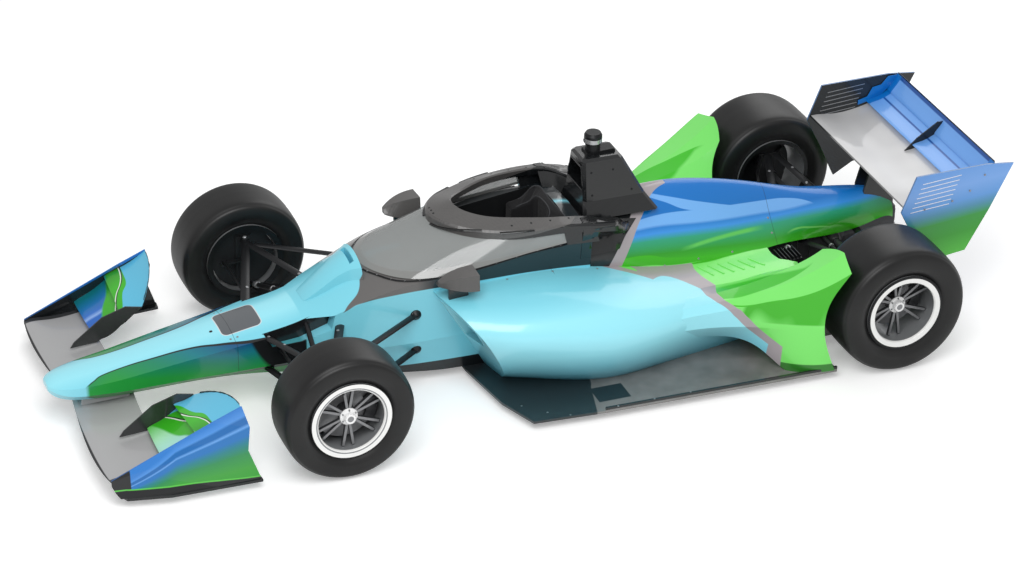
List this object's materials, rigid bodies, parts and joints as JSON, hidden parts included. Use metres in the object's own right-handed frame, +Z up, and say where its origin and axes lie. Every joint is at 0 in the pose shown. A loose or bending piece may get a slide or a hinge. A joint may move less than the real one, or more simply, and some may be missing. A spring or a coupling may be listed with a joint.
{
  "type": "open wheel racing car",
  "caption": "Single-seat open wheel racing car with front and rear wings, screened cockpit, sidepods, steered front wheels and free-rolling wheels.",
  "frame": {"origin": "middle of the car's length and width, on the ground", "axes": "+X forward towards the nose, +Y to the driver's left, +Z up"},
  "size_m": [5.075, 1.948, 1.16],
  "materials": {
    "cyan_paint": "light cyan gloss paint over moulded carbon composite",
    "grey_paint": "light grey gloss paint over moulded carbon composite",
    "blue_paint": "blue gloss paint over moulded carbon composite",
    "green_paint": "light green gloss paint over moulded carbon composite",
    "black_carbon": "black lacquered carbon composite",
    "clear_screen": "grey tinted laminated screen",
    "cast_metal": "cast and machined aluminium",
    "pad_cloth": "dark grey fire-proof cloth over foam",
    "dark_steel": "dark coated steel arms",
    "wheel_alloy": "forged alloy wheel with a white painted rim",
    "tyre_rubber": "smooth black racing rubber"
  },
  "bodies": {
    "chassis": {"nose_cone": "cyan_paint", "monocoque": "cyan_paint", "front_wing_mainplane": "grey_paint", "front_wing_flaps_left": "green_paint", "front_wing_flaps_right": "green_paint", "front_wing_endplate_left": "blue_paint", "front_wing_endplate_right": "blue_paint", "screen_frame": "black_carbon", "windscreen": "clear_screen", "roll_hoop": "black_carbon", "camera_pod": "black_carbon", "engine_cover": "blue_paint", "sidepod_left": "cyan_paint", "sidepod_right": "cyan_paint", "wheel_guard_left": "green_paint", "wheel_guard_right": "green_paint", "floor": "black_carbon", "engine": "cast_metal", "gearbox": "cast_metal", "rear_wing_mainplane": "grey_paint", "rear_wing_flaps": "blue_paint", "rear_wing_endplate_left": "blue_paint", "rear_wing_endplate_right": "blue_paint", "rear_wing_pylon": "black_carbon", "seat": "pad_cloth", "headrest": "pad_cloth", "dashboard": "black_carbon", "mirror_left": "black_carbon", "mirror_right": "black_carbon", "front_suspension_left": "dark_steel", "front_suspension_right": "dark_steel", "rear_suspension_left": "dark_steel", "rear_suspension_right": "dark_steel"},
    "steering_wheel": {"steering_wheel": "black_carbon"},
    "steering_rack": {"steering_rack": "dark_steel"},
    "front_upright_left": {"front_upright_left": "dark_steel"},
    "front_wheel_left": {"front_wheel_left": "wheel_alloy", "front_tyre_left": "tyre_rubber"},
    "rear_wheel_left": {"rear_wheel_left": "wheel_alloy", "rear_tyre_left": "tyre_rubber"},
    "front_upright_right": {"front_upright_right": "dark_steel"},
    "front_wheel_right": {"front_wheel_right": "wheel_alloy", "front_tyre_right": "tyre_rubber"},
    "rear_wheel_right": {"rear_wheel_right": "wheel_alloy", "rear_tyre_right": "tyre_rubber"}
  },
  "joints": [
    {"name": "steer_left", "type": "hinge", "parent": "chassis", "child": "front_upright_left", "pos_m": [1.2695, 0.702, 0.338], "axis": [0, 0, 1], "range_deg": [-18, 18]},
    {"name": "steer_right", "type": "hinge", "parent": "chassis", "child": "front_upright_right", "pos_m": [1.2695, -0.702, 0.338], "axis": [0, 0, 1], "range_deg": [-18, 18]},
    {"name": "rack_slide", "type": "slide", "parent": "chassis", "child": "steering_rack", "axis": [0, 1, 0], "range_m": [-0.0362, 0.0362]},
    {"name": "steering_wheel_turn", "type": "hinge", "parent": "chassis", "child": "steering_wheel", "pos_m": [0.3695, 0, 0.59], "axis": [-0.9806, 0, 0.1961], "range_deg": [-127, 127]},
    {"name": "front_wheel_spin_left", "type": "hinge", "parent": "front_upright_left", "child": "front_wheel_left", "pos_m": [1.2695, 0.828, 0.338], "axis": [0, 1, 0], "continuous": true},
    {"name": "rear_wheel_spin_left", "type": "hinge", "parent": "chassis", "child": "rear_wheel_left", "pos_m": [-1.7405, 0.7835, 0.356], "axis": [0, 1, 0], "continuous": true},
    {"name": "front_wheel_spin_right", "type": "hinge", "parent": "front_upright_right", "child": "front_wheel_right", "pos_m": [1.2695, -0.828, 0.338], "axis": [0, 1, 0], "continuous": true},
    {"name": "rear_wheel_spin_right", "type": "hinge", "parent": "chassis", "child": "rear_wheel_right", "pos_m": [-1.7405, -0.7835, 0.356], "axis": [0, 1, 0], "continuous": true}
  ],
  "couplings": [
    {"joint": "steer_right", "follows": "steer_left", "ratio": 1},
    {"joint": "rack_slide", "follows": "steer_left", "m_per_rad": 0.115},
    {"joint": "steering_wheel_turn", "follows": "steer_left", "ratio": 7}
  ]
}
